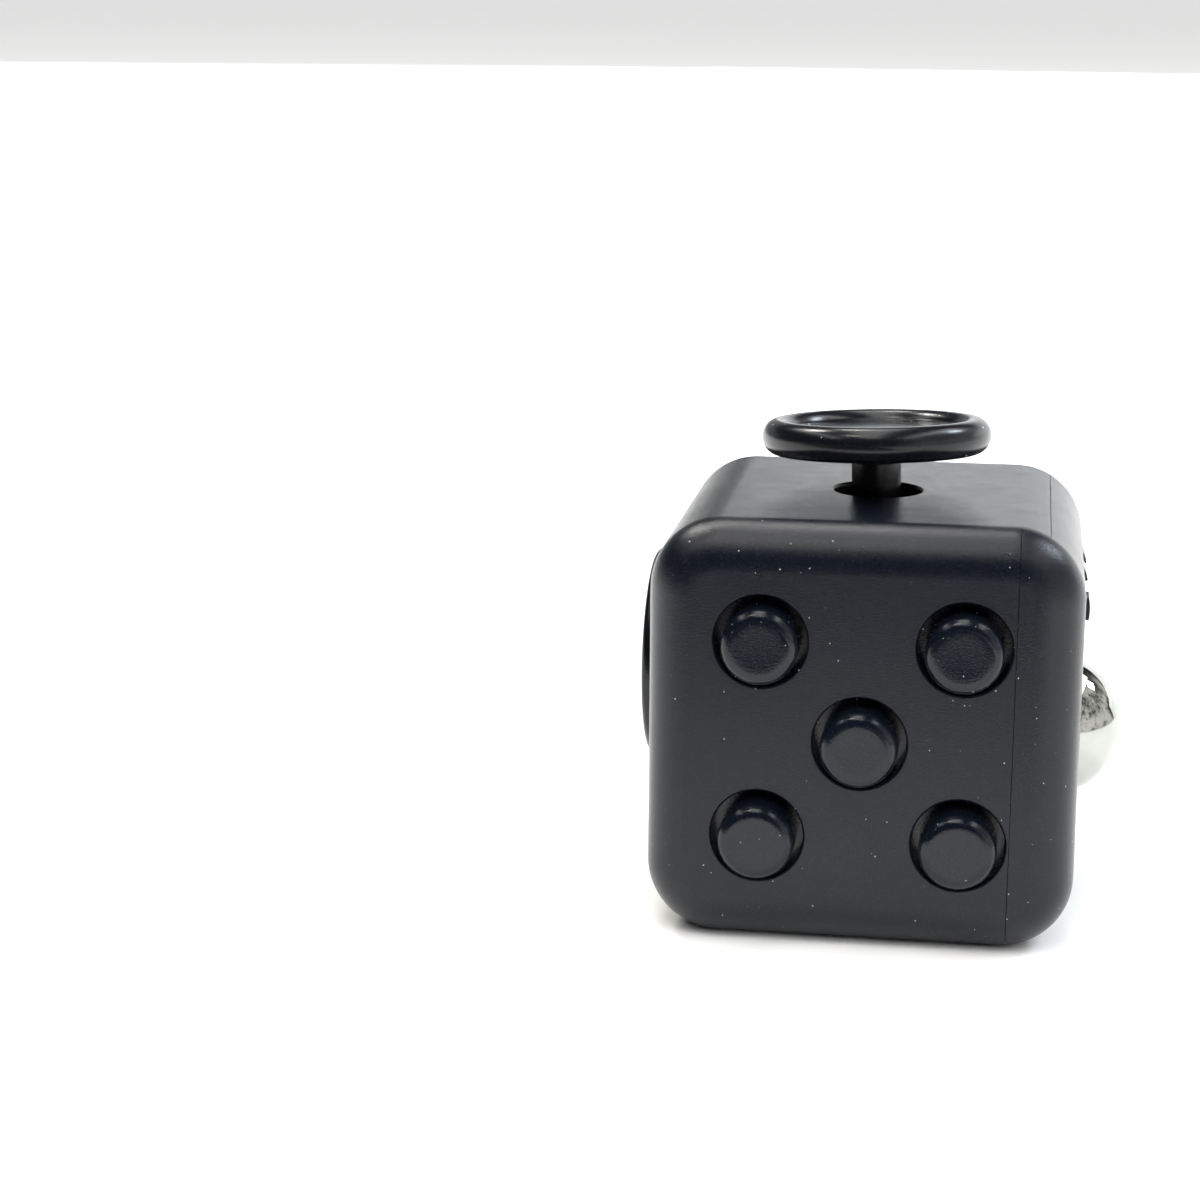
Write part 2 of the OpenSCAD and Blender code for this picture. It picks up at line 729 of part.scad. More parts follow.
module rocker_pin() color(steel)
    translate([0, rocker_y, half])
        rotate([0, 90, 0]) cylinder(r = rocker_pin_r, h = bore_w + 2 * skirt_t - 0.1, center = true);

module rocker_snap_spring() color(brass)
    translate([0, half - skirt_depth, half])
        rocker_profile(5)
            polygon(concat(
                [for (t = [-1:0.2:1]) [0.3 + 0.7 * (1 - t * t), 5 * t]],
                [for (t = [1:-0.2:-1]) [0.05 + 0.7 * (1 - t * t), 5 * t]]
            ));

case_body();
side_cover();
button_cap(0);  // button_cap_1
button_cap(1);  // button_cap_2
button_cap(2);  // button_cap_3
button_cap(3);  // button_cap_4
button_cap(4);  // button_cap_5
snap_dome(0);  // snap_dome_1
snap_dome(1);  // snap_dome_2
snap_dome(2);  // snap_dome_3
silicone_pad(3);  // silicone_pad_4
silicone_pad(4);  // silicone_pad_5
button_backplate();
backplate_screws();
joystick_knob();
joystick_foot();
joystick_foot_screw();
gimbal_ring();
joystick_housing();
housing_screws();
centring_cushion();
roller_ball();
ball_cup();
ball_dome();
ball_retainer();
retainer_screws();
gear(gear_ys[0], 0);  // gear_front
gear(gear_ys[1], 0.5);  // gear_middle
gear(gear_ys[2], 0.5);  // gear_back
gear_axle();
gear_spacers();
gear_cradle();
gear_click_comb();
cradle_screws();
dial_knob();
detent_wheel();
dial_screw();
dial_washer();
dial_click_spring();
click_spring_screw();
rocker_switch();
rocker_housing();
rocker_pin();
rocker_snap_spring();
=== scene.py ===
"""Fidget cube: a dark moulded case with a different finger toy on each of its sides.

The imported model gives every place. The pieces are modelled in metres, with the origin at the
centre of the underside, +Z up and the push buttons facing -Y.
"""

import json
import math

import bpy
from bpy.props import FloatProperty, FloatVectorProperty, IntProperty, PointerProperty
from mathutils import Matrix, Vector


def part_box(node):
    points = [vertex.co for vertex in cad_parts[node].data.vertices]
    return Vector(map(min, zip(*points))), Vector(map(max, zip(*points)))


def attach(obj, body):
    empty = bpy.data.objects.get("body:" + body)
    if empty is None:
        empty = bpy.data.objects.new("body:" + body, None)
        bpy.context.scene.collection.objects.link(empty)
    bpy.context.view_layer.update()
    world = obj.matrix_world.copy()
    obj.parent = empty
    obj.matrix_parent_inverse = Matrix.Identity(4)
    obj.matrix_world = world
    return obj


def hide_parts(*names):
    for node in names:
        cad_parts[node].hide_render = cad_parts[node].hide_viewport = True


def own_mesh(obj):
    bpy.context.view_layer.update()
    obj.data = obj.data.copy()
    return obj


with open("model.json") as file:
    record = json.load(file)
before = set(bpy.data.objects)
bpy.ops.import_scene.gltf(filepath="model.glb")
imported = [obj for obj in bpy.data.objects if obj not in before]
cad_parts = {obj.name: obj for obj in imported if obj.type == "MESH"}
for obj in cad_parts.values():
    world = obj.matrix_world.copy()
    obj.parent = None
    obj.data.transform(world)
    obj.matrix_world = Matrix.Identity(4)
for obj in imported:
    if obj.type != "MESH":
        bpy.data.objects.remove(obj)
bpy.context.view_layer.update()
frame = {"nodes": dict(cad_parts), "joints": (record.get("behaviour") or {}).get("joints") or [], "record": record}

bl_info = {
    "name": "Fidget cube",
    "version": (1, 0, 0),
    "blender": (4, 5, 0),
    "location": "3D View > Sidebar > Fidget cube",
    "description": "Models a fidget cube around its packed frame",
    "category": "Add Mesh",
}

MM = 0.001


def size(name, description, millimetres):
    """A length property whose default is given in millimetres."""
    return FloatProperty(
        name=name, description=description, default=millimetres * MM, min=0.0, precision=5, unit="LENGTH"
    )


def colour(name, description, rgb):
    return FloatVectorProperty(
        name=name, description=description, default=rgb, size=3, min=0.0, max=1.0, subtype="COLOR"
    )


# ---------------------------------------------------------------- settings


class CaseSizes(bpy.types.PropertyGroup):
    edge: size("Edge", "Edge length of the cube", 33.0)
    wall: size("Wall", "Thickness of the walls", 2.0)
    long_round: size("Long rounding", "Rounding of the four edges that run from front to back", 5.6)
    rim_round: size("Rim rounding", "Rounding of the rims of the front and the back", 3.6)
    seam: size("Seam", "Width of the seam between case and cover", 0.05)
    seam_top: size("Seam on the top", "Distance of the seam from the right side on the top", 2.8)
    seam_front: size("Seam on the front", "Distance of the seam from the right side on the front", 5.0)
    lip: size("Hole lip", "Rounding of the rims of the holes", 0.22)
    dish_radius: size("Dish radius", "Radius of the thumb dish", 10.5)
    dish_depth: size("Dish depth", "Depth of the thumb dish", 1.6)
    stem_hole: size("Stem hole", "Radius of the hole that the joystick tilts in", 3.51)


class ControlSizes(bpy.types.PropertyGroup):
    cap_radius: size("Cap radius", "Radius of a button cap", 2.95)
    cap_hole: size("Cap hole", "Radius of the holes that the caps stand in", 3.54)
    cap_height: size("Cap height", "Height of a cap over the front", 1.8)
    cap_round: size("Cap rounding", "Rounding of the edge of a cap", 0.9)
    disc_radius: size("Disc radius", "Radius of the joystick's thumb disc", 9.12)
    rim_thickness: size("Rim thickness", "Thickness of the disc's round rim", 2.8)
    rim_width: size("Rim width", "Width of the disc's round rim", 2.5)
    disc_height: size("Disc height", "Height of the middle of the disc over the top", 4.28)
    lean_left: FloatProperty(
        name="Lean",
        description="Lean of the loose joystick to the left at rest",
        default=math.radians(1.8),
        min=0.0,
        max=0.2,
        subtype="ANGLE",
    )
    stem_radius: size("Stem radius", "Radius of the joystick's stem", 1.97)
    gear_teeth: IntProperty(
        name="Teeth", description="Number of teeth on a wheel", default=8, min=6, max=10
    )
    dial_radius: size("Dial radius", "Radius of the dial", 8.5)
    dial_height: size("Dial height", "Height of the dial over the left side", 1.4)
    rocker_tilt: FloatProperty(
        name="Rocker tilt",
        description="Tilt of the rocker at rest",
        default=math.radians(10),
        min=0.0,
        max=0.3,
        subtype="ANGLE",
    )


class Finishes(bpy.types.PropertyGroup):
    case: colour("Case", "Colour of the satin case", (0.0028, 0.0043, 0.0085))
    control: colour("Controls", "Colour of the smooth controls", (0.003, 0.0038, 0.006))
    inner: colour("Inner plastic", "Colour of the plastic inside", (0.03, 0.031, 0.035))
    dust: colour("Dust", "Colour of the dust specks", (0.5, 0.5, 0.48))
    grain: size("Grain", "Size of the case's moulded grain", 0.13)
    dust_gap: size("Dust spacing", "Typical distance between specks of dust", 0.78)


class StageSettings(bpy.types.PropertyGroup):
    floor: colour("Floor", "Colour of the floor", (0.9, 0.9, 0.9))
    # Painted shade: how far in front of the cube the dark card begins; it is seen only in reflections and stands
    # for no real sheet.
    shade_card_start: size("Shade card start", "How far in front of the cube the pale sheet ends", 95.0)
    sun: FloatProperty(
        name="Overhead light", description="Strength of the even light from above", default=2.5
    )
    lamps: FloatProperty(name="Lamps", description="Strength of the soft lamps", default=1.0)
    surround: colour("Surroundings", "Colour of the dim room above the floor", (0.026, 0.024, 0.026))
    lens: FloatProperty(name="Lens", description="Focal length in millimetres", default=81.481)


# ---------------------------------------------------------------- modelling helpers


def alone(obj):
    """Makes obj the only selected object and the active one."""
    if bpy.context.object and bpy.context.object.mode != "OBJECT":
        bpy.ops.object.mode_set(mode="OBJECT")
    bpy.ops.object.select_all(action="DESELECT")
    obj.select_set(True)
    bpy.context.view_layer.objects.active = obj
    return obj


def settle(obj, name=None):
    """Puts the object's place into its mesh and leaves the object at the origin."""
    alone(obj)
    bpy.ops.object.transform_apply(location=True, rotation=True, scale=True)
    if name:
        obj.name = obj.data.name = name
    return obj


def block(low, high, name="block"):
    """A block from one corner to the opposite one."""
    low, high = Vector(low), Vector(high)
    if bpy.context.object and bpy.context.object.mode != "OBJECT":
        bpy.ops.object.mode_set(mode="OBJECT")
    bpy.ops.mesh.primitive_cube_add(size=1, location=(low + high) / 2, scale=high - low)
    return settle(bpy.context.object, name)


def same(a, b):
    """Whether two lengths in metres are the same, to a thousandth of a millimetre."""
    return abs(a - b) < 1e-6


def round_edges(obj, test, width, steps):
    """Bevels the edges whose two ends pass the test."""
    alone(obj)
    bpy.ops.object.mode_set(mode="EDIT")
    bpy.ops.mesh.select_mode(type="EDGE")
    bpy.ops.mesh.select_all(action="DESELECT")
    bpy.ops.object.mode_set(mode="OBJECT")
    for edge in obj.data.edges:
        a, b = (obj.data.vertices[i].co for i in edge.vertices)
        edge.select = bool(test(a, b))
    bpy.ops.object.mode_set(mode="EDIT")
    bpy.ops.mesh.bevel(offset=width, offset_type="OFFSET", segments=steps, profile=0.5, affect="EDGES")
    bpy.ops.object.mode_set(mode="OBJECT")
    return obj


def lathe(name, outline, centre=(0, 0, 0), axis=(0, 0, 1), steps=96):
    """Turns an outline of (radius, height) points round the axis; heights count from the centre."""
    centre, axis = Vector(centre), Vector(axis).normalized()
    side = axis.orthogonal().normalized()
    points = [centre + side * r + axis * h for r, h in outline]
    if bpy.context.object and bpy.context.object.mode != "OBJECT":
        bpy.ops.object.mode_set(mode="OBJECT")
    bpy.ops.mesh.primitive_plane_add(size=MM, location=points[0])
    obj = settle(bpy.context.object, name)
    bpy.ops.object.mode_set(mode="EDIT")
    bpy.ops.mesh.select_mode(type="VERT")
    bpy.ops.mesh.select_all(action="SELECT")
    bpy.ops.mesh.merge(type="CENTER")
    for before, after in zip(points, points[1:]):
        bpy.ops.mesh.extrude_region_move(TRANSFORM_OT_translate={"value": after - before})
    bpy.ops.mesh.select_all(action="SELECT")
    bpy.ops.mesh.spin(steps=steps, angle=2 * math.pi, center=centre, axis=axis)
    bpy.ops.mesh.select_all(action="SELECT")
    bpy.ops.mesh.remove_doubles(threshold=1e-7)
    bpy.ops.mesh.normals_make_consistent(inside=False)
    bpy.ops.object.mode_set(mode="OBJECT")
    return obj


def rod(radius, start, end, steps=48, name="rod"):
    """A round bar between two points."""
    start, end = Vector(start), Vector(end)
    length = (end - start).length
    return lathe(name, [(0, 0), (radius, 0), (radius, length), (0, length)], start, end - start, steps)


def arc(centre, radius, first, last, count):
    """Points on an arc in (radius, height), with both ends; angles in degrees."""
    r0, h0 = centre
    angles = [math.radians(first + (last - first) * i / count) for i in range(count + 1)]
    return [(r0 + radius * math.cos(a), h0 + radius * math.sin(a)) for a in angles]


def hole(radius, depth, lip, centre, axis):
    """A cutter for a round hole whose rim flares with a rounded lip at the surface."""
    outline = [(0, -depth), (radius, -depth)]
    outline += arc((radius + lip, -lip), lip, 180, 90, 6)
    outline += [(radius + lip, lip * 3), (0, lip * 3)]
    return lathe("hole", outline, centre, axis)


def joined(pieces, name):
    """One object made of several."""
    alone(pieces[0])
    for piece in pieces:
        piece.select_set(True)
    bpy.ops.object.join()
    pieces[0].name = pieces[0].data.name = name
    return pieces[0]


def combine(obj, tool, operation):
    """Cuts the tool out of obj, adds it or keeps what they share, and takes the tool away."""
    alone(obj)
    bpy.ops.object.modifier_add(type="BOOLEAN")
    modifier = obj.modifiers[-1]
    modifier.operation = operation
    modifier.solver = "EXACT"
    modifier.object = tool
    bpy.ops.object.modifier_apply(modifier=modifier.name)
    mesh = tool.data
    bpy.data.objects.remove(tool)
    bpy.data.meshes.remove(mesh)
    if not obj.data.polygons:
        raise RuntimeError(f"{obj.name} has no faces left")
    return obj


def duplicate(obj, name, shift):
    """A copy with its own mesh, moved by shift."""
    alone(obj)
    bpy.ops.object.duplicate()
    copy = bpy.context.object
    copy.location = shift
    return settle(copy, name)


def turn_mesh(obj, angle, axis, centre):
    """Turns the whole mesh about a line through centre that runs along X, Y or Z."""
    alone(obj)
    bpy.ops.object.mode_set(mode="EDIT")
    bpy.ops.mesh.select_all(action="SELECT")
    bpy.ops.transform.rotate(value=angle, orient_axis=axis, center_override=centre)
    bpy.ops.object.mode_set(mode="OBJECT")


def soften(obj, width, steps=2, angle=40):
    """Rounds every crisp edge of a small piece."""
    alone(obj)
    bpy.ops.object.modifier_add(type="BEVEL")
    modifier = obj.modifiers[-1]
    modifier.width = width
    modifier.segments = steps
    modifier.limit_method = "ANGLE"
    modifier.angle_limit = math.radians(angle)
    modifier.miter_outer = "MITER_ARC"
    modifier.use_clamp_overlap = True
    bpy.ops.object.modifier_apply(modifier=modifier.name)
    return obj


def smooth(obj, angle=32):
    """Shades the curves smooth, keeps the flats flat and the crisp edges crisp."""
    alone(obj)
    bpy.ops.object.shade_smooth_by_angle(angle=math.radians(angle))
    bpy.ops.object.modifier_add(type="WEIGHTED_NORMAL")
    modifier = obj.modifiers[-1]
    modifier.mode = "FACE_AREA"
    modifier.weight = 100
    modifier.keep_sharp = True
    bpy.ops.object.modifier_apply(modifier=modifier.name)
    return obj


def hand_over(obj, body, node):
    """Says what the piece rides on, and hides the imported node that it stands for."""
    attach(obj, body)
    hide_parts(node)


def frame_joint(name):
    """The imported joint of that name."""
    found = [joint for joint in frame["joints"] if joint["name"] == name]
    if not found:
        raise RuntimeError(f"the frame has no joint {name}")
    return found[0]


def slot_of(node):
    """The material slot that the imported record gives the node."""
    found = [part["material_slot"] for part in frame["record"]["subparts"] if part["node"] == node]
    if not found:
        raise RuntimeError(f"the record has no node {node}")
    return found[0]


# ---------------------------------------------------------------- finishes


def link(tree, output, socket):
    tree.links.new(output, socket)


def new_group(name, inputs, outputs):
    """A shader node group with number sockets, and its own input and output nodes."""
    tree = bpy.data.node_groups.new(name, "ShaderNodeTree")
    for label, default in inputs:
        socket = tree.interface.new_socket(label, in_out="INPUT", socket_type="NodeSocketFloat")
        socket.default_value = default
    for label in outputs:
        tree.interface.new_socket(label, in_out="OUTPUT", socket_type="NodeSocketFloat")
    return tree, tree.nodes.new("NodeGroupInput"), tree.nodes.new("NodeGroupOutput")


def arithmetic(tree, operation, a, b, clamp=False):
    """The result of a sum on two numbers or outputs."""
    node = tree.nodes.new("ShaderNodeMath")
    node.operation = operation
    node.use_clamp = clamp
    for socket, value in zip(node.inputs, (a, b)):
        if isinstance(value, (int, float)):
            socket.default_value = value
        else:
            link(tree, value, socket)
    return node.outputs[0]


def noise(tree, vector, scale, detail=3.0, roughness=0.55):
    """Soft noise from 0 to 1; the scale is a number or an output."""
    node = tree.nodes.new("ShaderNodeTexNoise")
    node.inputs["Detail"].default_value = detail
    node.inputs["Roughness"].default_value = roughness
    link(tree, vector, node.inputs["Vector"])
    if isinstance(scale, (int, float)):
        node.inputs["Scale"].default_value = scale
    else:
        link(tree, scale, node.inputs["Scale"])
    return node.outputs["Fac"]


def stretch(tree, value, low, high, to_low, to_high):
    """Maps the range low to high onto to_low to to_high, and holds it there."""
    node = tree.nodes.new("ShaderNodeMapRange")
    node.clamp = True
    link(tree, value, node.inputs["Value"])
    for label, number in zip(("From Min", "From Max", "To Min", "To Max"), (low, high, to_low, to_high)):
        if isinstance(number, (int, float)):
            node.inputs[label].default_value = number
        else:
            link(tree, number, node.inputs[label])
    return node.outputs["Result"]


def own_coordinates(tree):
    """The place on the piece, in metres."""
    return tree.nodes.new("ShaderNodeTexCoord").outputs["Object"]


def grain_group():
    """Height of a spark-eroded mould's grain, and the change of gloss that goes with it."""
    inputs = [("Scale", 6000.0), ("Gloss change", 0.06)]
    tree, inside, out = new_group("Moulded grain", inputs, ["Height", "Gloss"])
    place = own_coordinates(tree)
    fine = noise(tree, place, inside.outputs["Scale"], 4.0, 0.6)
    broad = noise(tree, place, arithmetic(tree, "MULTIPLY", inside.outputs["Scale"], 0.045), 3.0, 0.5)
    link(tree, fine, out.inputs["Height"])
    centred = arithmetic(tree, "SUBTRACT", broad, 0.5)
    change = arithmetic(tree, "MULTIPLY", centred, inside.outputs["Gloss change"])
    link(tree, arithmetic(tree, "MULTIPLY", change, 4.0), out.inputs["Gloss"])
    return tree


def dust_group():
    """Where specks of dust and lint lie."""
    tree, inside, out = new_group("Dust", [("Scale", 770.0), ("Speck", 0.045)], ["Mask"])
    place = own_coordinates(tree)
    cells = tree.nodes.new("ShaderNodeTexVoronoi")
    link(tree, place, cells.inputs["Vector"])
    link(tree, inside.outputs["Scale"], cells.inputs["Scale"])
    split = tree.nodes.new("ShaderNodeSeparateColor")
    link(tree, cells.outputs["Color"], split.inputs["Color"])
    reach = arithmetic(tree, "MULTIPLY", split.outputs["Red"], inside.outputs["Speck"])
    near = arithmetic(tree, "SUBTRACT", reach, cells.outputs["Distance"])
    link(tree, stretch(tree, near, 0.0, 0.012, 0.0, 1.0), out.inputs["Mask"])
    return tree


def scuff_group():
    """Fine hairline scuffs and greasy smudges from fingers."""
    inputs = [("Scale", 900.0), ("Amount", 1.0)]
    tree, inside, out = new_group("Handling marks", inputs, ["Scuffs", "Smudges"])
    place, scale = own_coordinates(tree), inside.outputs["Scale"]
    bent = tree.nodes.new("ShaderNodeMapping")
    bent.inputs["Rotation"].default_value = (0.5, 0.9, 0.3)
    bent.inputs["Scale"].default_value = (1.0, 0.06, 1.0)
    link(tree, place, bent.inputs["Vector"])
    lines = noise(tree, bent.outputs["Vector"], arithmetic(tree, "MULTIPLY", scale, 6.0), 2.0)
    patches = noise(tree, place, arithmetic(tree, "MULTIPLY", scale, 0.25), 3.0)
    sharp = stretch(tree, lines, 0.62, 0.78, 0.0, 1.0)
    where = stretch(tree, patches, 0.5, 0.68, 0.0, 1.0)
    both = arithmetic(tree, "MULTIPLY", sharp, where)
    link(tree, arithmetic(tree, "MULTIPLY", both, inside.outputs["Amount"]), out.inputs["Scuffs"])
    soft = noise(tree, place, arithmetic(tree, "MULTIPLY", scale, 0.16), 4.0, 0.6)
    wide = stretch(tree, soft, 0.42, 0.7, 0.0, inside.outputs["Amount"])
    link(tree, wide, out.inputs["Smudges"])
    return tree


def drawn_group():
    """Fine parallel lines left by drawing or turning metal."""
    tree, inside, out = new_group("Drawn lines", [("Scale", 9000.0), ("Along", 0.04)], ["Lines"])
    place = own_coordinates(tree)
    bent = tree.nodes.new("ShaderNodeMapping")
    join = tree.nodes.new("ShaderNodeCombineXYZ")
    join.inputs["X"].default_value = 1.0
    join.inputs["Z"].default_value = 1.0
    link(tree, inside.outputs["Along"], join.inputs["Y"])
    link(tree, join.outputs[0], bent.inputs["Scale"])
    link(tree, place, bent.inputs["Vector"])
    link(tree, noise(tree, bent.outputs["Vector"], inside.outputs["Scale"], 3.0), out.inputs["Lines"])
    return tree


def placed(tree, group, **values):
    """Puts a node group into a material with its own values, and returns its outputs."""
    node = tree.nodes.new("ShaderNodeGroup")
    node.node_tree = group
    for label, value in values.items():
        node.inputs[label.replace("_", " ")].default_value = value
    return node.outputs


def mixed(tree, factor, a, b):
    """A colour between a and b."""
    node = tree.nodes.new("ShaderNodeMix")
    node.data_type = "RGBA"
    link(tree, factor, node.inputs["Factor"])
    for label, value in (("A", a), ("B", b)):
        socket = [s for s in node.inputs if s.name == label and s.type == "RGBA"][0]
        if isinstance(value, (tuple, list)):
            socket.default_value = (*value[:3], 1.0)
        else:
            link(tree, value, socket)
    return [s for s in node.outputs if s.type == "RGBA"][0]


def new_material(name):
    """A new material with its node tree and its main shader."""
    material = bpy.data.materials.new(name)
    material.use_nodes = True
    tree = material.node_tree
    return material, tree, tree.nodes["Principled BSDF"]


def relief(tree, shader, height, strength, distance):
    """Raises the surface a little by the height."""
    bump = tree.nodes.new("ShaderNodeBump")
    bump.inputs["Strength"].default_value = strength
    bump.inputs["Distance"].default_value = distance
    link(tree, height, bump.inputs["Height"])
    link(tree, bump.outputs["Normal"], shader.inputs["Normal"])


def plastic(name, groups, rgb, roughness, grain, relief_depth, dust=None, speck=0.08):
    """Moulded plastic with grain and finger marks, and with dust of a (spacing, colour) where given."""
    material, tree, shader = new_material(name)
    shader.inputs["IOR"].default_value = 1.41
    grained = placed(tree, groups["grain"], Scale=1.0 / grain, Gloss_change=0.02)
    marks = placed(tree, groups["scuffs"], Scale=900.0, Amount=0.5)
    lighter = tuple(min(1.0, 1.9 * c + 0.009) for c in rgb)
    mottle = stretch(tree, grained["Height"], 0.55, 0.68, 0.0, 0.6)
    base = mixed(tree, mottle, rgb, lighter)
    base = mixed(tree, marks["Scuffs"], base, lighter)
    rough = arithmetic(tree, "ADD", grained["Gloss"], roughness)
    greasy = arithmetic(tree, "MULTIPLY", marks["Smudges"], 0.03)
    rough = arithmetic(tree, "ADD", rough, greasy, clamp=True)
    if dust:
        spacing, dust_rgb = dust
        mask = placed(tree, groups["dust"], Scale=1.0 / spacing, Speck=speck)["Mask"]
        base = mixed(tree, mask, base, dust_rgb)
        rough = arithmetic(tree, "MAXIMUM", rough, mask)
    link(tree, base, shader.inputs["Base Color"])
    link(tree, rough, shader.inputs["Roughness"])
    relief(tree, shader, grained["Height"], 0.55, relief_depth)
    return material


def metal(name, groups, rgb, roughness, lines, scale=9000.0, along=0.04, dark=0.75):
    """Bare or plated metal with drawing lines and finger marks."""
    material, tree, shader = new_material(name)
    shader.inputs["Metallic"].default_value = 1.0
    drawn = placed(tree, groups["drawn"], Scale=scale, Along=along)["Lines"]
    marks = placed(tree, groups["scuffs"], Scale=1400.0, Amount=1.0)
    base = mixed(tree, marks["Smudges"], rgb, tuple(dark * c for c in rgb))
    link(tree, base, shader.inputs["Base Color"])
    rough = arithmetic(tree, "ADD", arithmetic(tree, "MULTIPLY", drawn, lines), roughness)
    scratched = arithmetic(tree, "MULTIPLY", marks["Scuffs"], 0.12)
    rough = arithmetic(tree, "ADD", rough, scratched, clamp=True)
    link(tree, rough, shader.inputs["Roughness"])
    relief(tree, shader, drawn, 0.12 + lines, 0.004 * MM)
    return material


def make_finishes(look):
    """Every finish of the cube, under the name of its slot."""
    groups = {
        "grain": grain_group(),
        "dust": dust_group(),
        "scuffs": scuff_group(),
        "drawn": drawn_group(),
    }
    case, control, inner = tuple(look.case), tuple(look.control), tuple(look.inner)
    grain, gap, dust = look.grain, look.dust_gap, tuple(look.dust)

    def moulded(name, rgb, roughness, grain, micrometres, *dusty):
        return plastic(name, groups, rgb, roughness, grain, micrometres * 0.001 * MM, *dusty)

    def bare(name, *looks):
        return metal(name, groups, *looks)

    return {
        "case_plastic": moulded("Satin case plastic", case, 0.245, grain, 50, (gap, dust), 0.07),
        "control_plastic": moulded(
            "Smooth control plastic", control, 0.22, 1.6 * grain, 12, (1.5 * gap, dust)
        ),
        "cap_plastic": moulded("Button cap plastic", case, 0.13, 1.2 * grain, 20, (gap, dust)),
        "inner_plastic": moulded("Inner plastic", inner, 0.5, grain, 30),
        "nylon": moulded("Natural nylon", (0.72, 0.7, 0.63), 0.42, 0.4 * MM, 20),
        "silicone": moulded("Silicone", (0.5, 0.5, 0.52), 0.55, 0.3 * MM, 30),
        "ball_steel": bare("Polished ball steel", (0.46, 0.47, 0.445), 0.03, 0.03, 5000.0, 1.0, 0.86),
        "spring_steel": bare("Stamped spring steel", (0.6, 0.6, 0.61), 0.24, 0.2),
        "screw_steel": bare("Zinc plated steel", (0.62, 0.63, 0.65), 0.3, 0.12, 7000.0, 0.3),
        "brass": bare("Stamped brass", (0.75, 0.52, 0.22), 0.26, 0.18),
    }


# The finishes by slot, filled when the first piece asks for one.
finishes_made = {}


def finish_of(slot):
    """The material of a slot, made on first use."""
    if not finishes_made:
        finishes_made.update(make_finishes(bpy.context.scene.fidget_finishes))
    return finishes_made[slot]


def coat(obj, slot):
    """Gives the piece the finish of a slot."""
    obj.data.materials.clear()
    obj.data.materials.append(finish_of(slot))


# ---------------------------------------------------------------- case and cover


def rounded_cube(case):
    """The cube's outer form: four wide long edges, and a tighter rim round the front and the back."""
    half = case.edge / 2
    cube = block((-half, -half, 0), (half, half, case.edge), "cube")

    def runs_back(a, b):
        return abs(a.y - b.y) > half

    def on_rim(a, b):
        return same(abs(a.y), half) and same(a.y, b.y)

    round_edges(cube, runs_back, case.long_round, 20)
    return round_edges(cube, on_rim, case.rim_round, 14)


def cover_space(case, grow):
    """All that lies right of the seam, moved left by grow."""
    far = 2 * case.edge
    half = case.edge / 2
    main = block((half - case.seam_top - grow, -far, -far), (far, far, far))
    jog = half - case.rim_round - grow
    left = half - case.seam_front - grow
    for low, high in ((-far - MM, -jog), (jog, far + MM)):
        combine(main, block((left, low, -far - MM), (far + MM, high, far + MM)), "UNION")
    return main


def case_hollow(case):
    """The room inside the case, with slanted corners on the left."""
    half, wall = case.edge / 2, case.wall
    left = -half + wall
    room = block((left, left, wall), (half - case.seam_top, -left, case.edge - wall), "hollow")

    def left_corner(a, b):
        return same(a.x, left) and same(b.x, left) and abs(a.y - b.y) > half

    return round_edges(room, left_corner, 2.2 * MM, 1)


def plate_screws(half):
    """The places of the four backplate screws in X and Z."""
    off = 9 * MM
    return [(-off, half), (off, half), (0, half - off), (0, half + off)]


def cap_centres():
    """The middle of each cap in X and Z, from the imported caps."""
    corners = [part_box(f"button_cap_{i}") for i in range(1, 6)]
    return [((low.x + high.x) / 2, (low.z + high.z) / 2) for low, high in corners]


